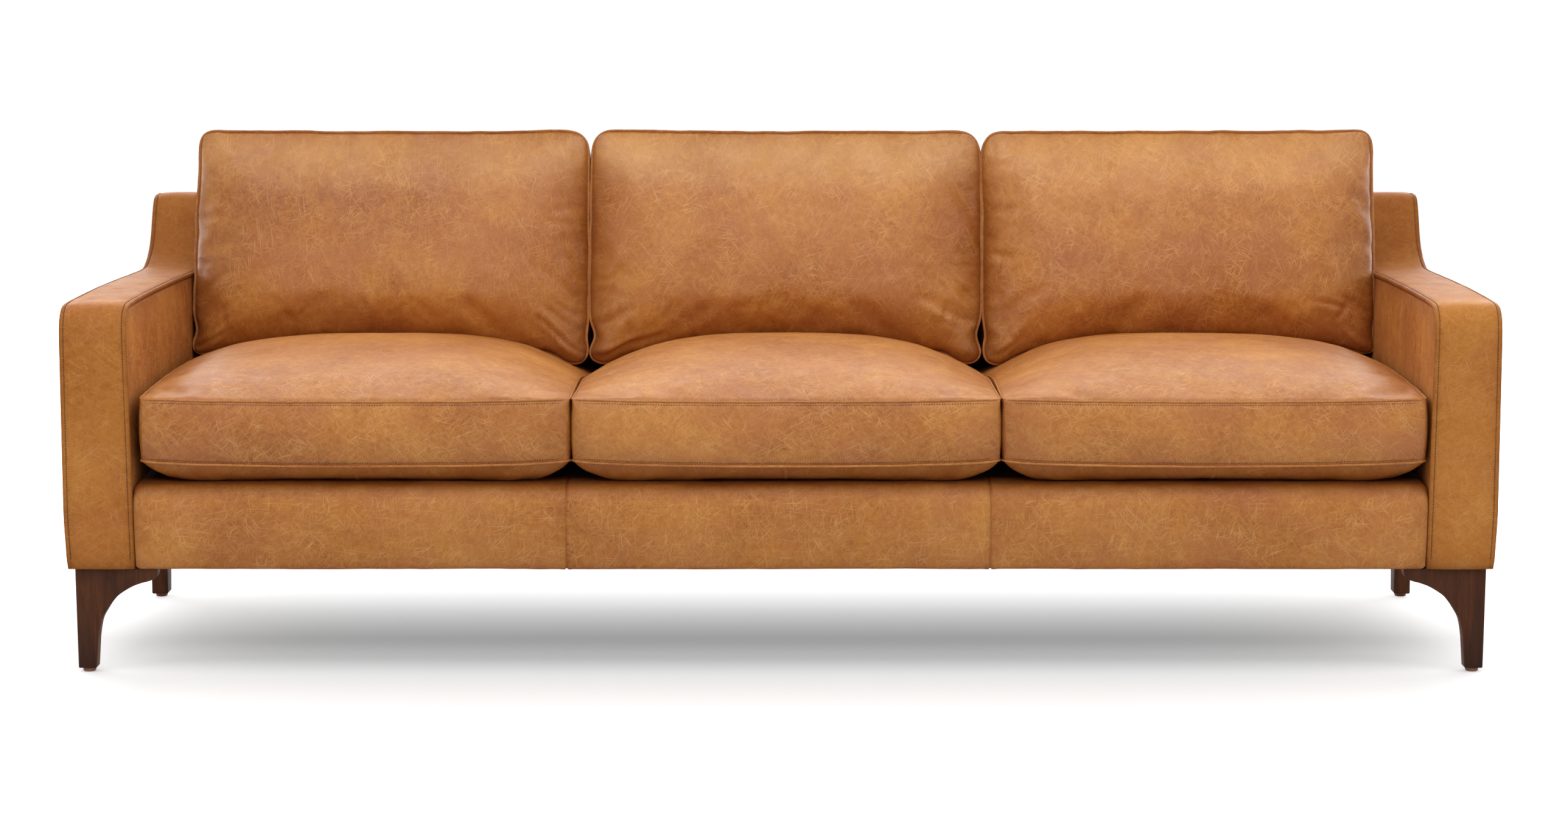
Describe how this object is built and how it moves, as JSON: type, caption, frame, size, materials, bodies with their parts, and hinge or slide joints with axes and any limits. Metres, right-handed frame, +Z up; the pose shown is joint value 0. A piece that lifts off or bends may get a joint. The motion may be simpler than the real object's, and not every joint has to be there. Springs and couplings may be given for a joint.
{
  "type": "leather sofa with wooden legs",
  "caption": "Low, wide sofa in tan leather with loose box seat and back cushions, slim square arms that flare up to a raked back, and short dark wooden bracket legs.",
  "frame": {"origin": "on the floor, under the middle of the sofa's box", "axes": "+Z up; +X along the sofa's length, to the right seen from the front; the front of the sofa faces -Y"},
  "size_m": [2.235, 0.95, 0.812],
  "materials": {
    "frame_timber": "matte",
    "plywood": "matte",
    "webbing": "matte",
    "spring_steel": "satin",
    "lining_cloth": "matte",
    "base_leather": "satin",
    "arm_leather": "satin",
    "seat_leather": "satin",
    "back_leather": "satin",
    "cushion_core": "matte",
    "walnut": "satin",
    "bolt_steel": "satin",
    "glide_plastic": "matte"
  },
  "bodies": {
    "frame": {"front_rail": "frame_timber", "rear_rail": "frame_timber", "left_side_rail": "frame_timber", "right_side_rail": "frame_timber", "left_cross_rail": "frame_timber", "right_cross_rail": "frame_timber", "left_back_post": "frame_timber", "left_centre_back_post": "frame_timber", "right_centre_back_post": "frame_timber", "right_back_post": "frame_timber", "back_top_rail": "frame_timber", "back_webbing": "webbing", "left_seat_springs": "spring_steel", "centre_seat_springs": "spring_steel", "right_seat_springs": "spring_steel", "seat_deck": "lining_cloth", "dust_cover": "lining_cloth", "front_rail_cover": "base_leather", "inside_back_pad": "arm_leather", "outside_back_cover": "arm_leather", "left_arm_boxing": "arm_leather", "left_arm_outer_panel": "arm_leather", "left_arm_inner_panel": "arm_leather", "left_arm_outer_ply": "plywood", "left_arm_inner_ply": "plywood", "left_arm_front_stile": "frame_timber", "left_arm_rear_stile": "frame_timber", "left_front_leg": "walnut", "left_front_leg_bolt": "bolt_steel", "left_front_glide": "glide_plastic", "left_rear_leg": "walnut", "left_rear_leg_bolt": "bolt_steel", "left_rear_glide": "glide_plastic", "right_arm_boxing": "arm_leather", "right_arm_outer_panel": "arm_leather", "right_arm_inner_panel": "arm_leather", "right_arm_outer_ply": "plywood", "right_arm_inner_ply": "plywood", "right_arm_front_stile": "frame_timber", "right_arm_rear_stile": "frame_timber", "right_front_leg": "walnut", "right_front_leg_bolt": "bolt_steel", "right_front_glide": "glide_plastic", "right_rear_leg": "walnut", "right_rear_leg_bolt": "bolt_steel", "right_rear_glide": "glide_plastic"},
    "left_seat_cushion": {"left_seat_cover": "seat_leather", "left_seat_core": "cushion_core"},
    "left_back_cushion": {"left_back_cover": "back_leather", "left_back_core": "cushion_core"},
    "centre_seat_cushion": {"centre_seat_cover": "seat_leather", "centre_seat_core": "cushion_core"},
    "centre_back_cushion": {"centre_back_cover": "back_leather", "centre_back_core": "cushion_core"},
    "right_seat_cushion": {"right_seat_cover": "seat_leather", "right_seat_core": "cushion_core"},
    "right_back_cushion": {"right_back_cover": "back_leather", "right_back_core": "cushion_core"}
  },
  "joints": [
    {"name": "left_seat_cushion_slide", "type": "slide", "parent": "frame", "child": "left_seat_cushion", "axis": [0, -1, 0], "range_m": [0, 0.78]},
    {"name": "centre_seat_cushion_slide", "type": "slide", "parent": "frame", "child": "centre_seat_cushion", "axis": [0, -1, 0], "range_m": [0, 0.78]},
    {"name": "right_seat_cushion_slide", "type": "slide", "parent": "frame", "child": "right_seat_cushion", "axis": [0, -1, 0], "range_m": [0, 0.78]},
    {"name": "left_back_cushion_lift", "type": "slide", "parent": "frame", "child": "left_back_cushion", "axis": [0, 0, 1], "range_m": [0, 0.39]},
    {"name": "centre_back_cushion_lift", "type": "slide", "parent": "frame", "child": "centre_back_cushion", "axis": [0, 0, 1], "range_m": [0, 0.39]},
    {"name": "right_back_cushion_lift", "type": "slide", "parent": "frame", "child": "right_back_cushion", "axis": [0, 0, 1], "range_m": [0, 0.39]}
  ]
}
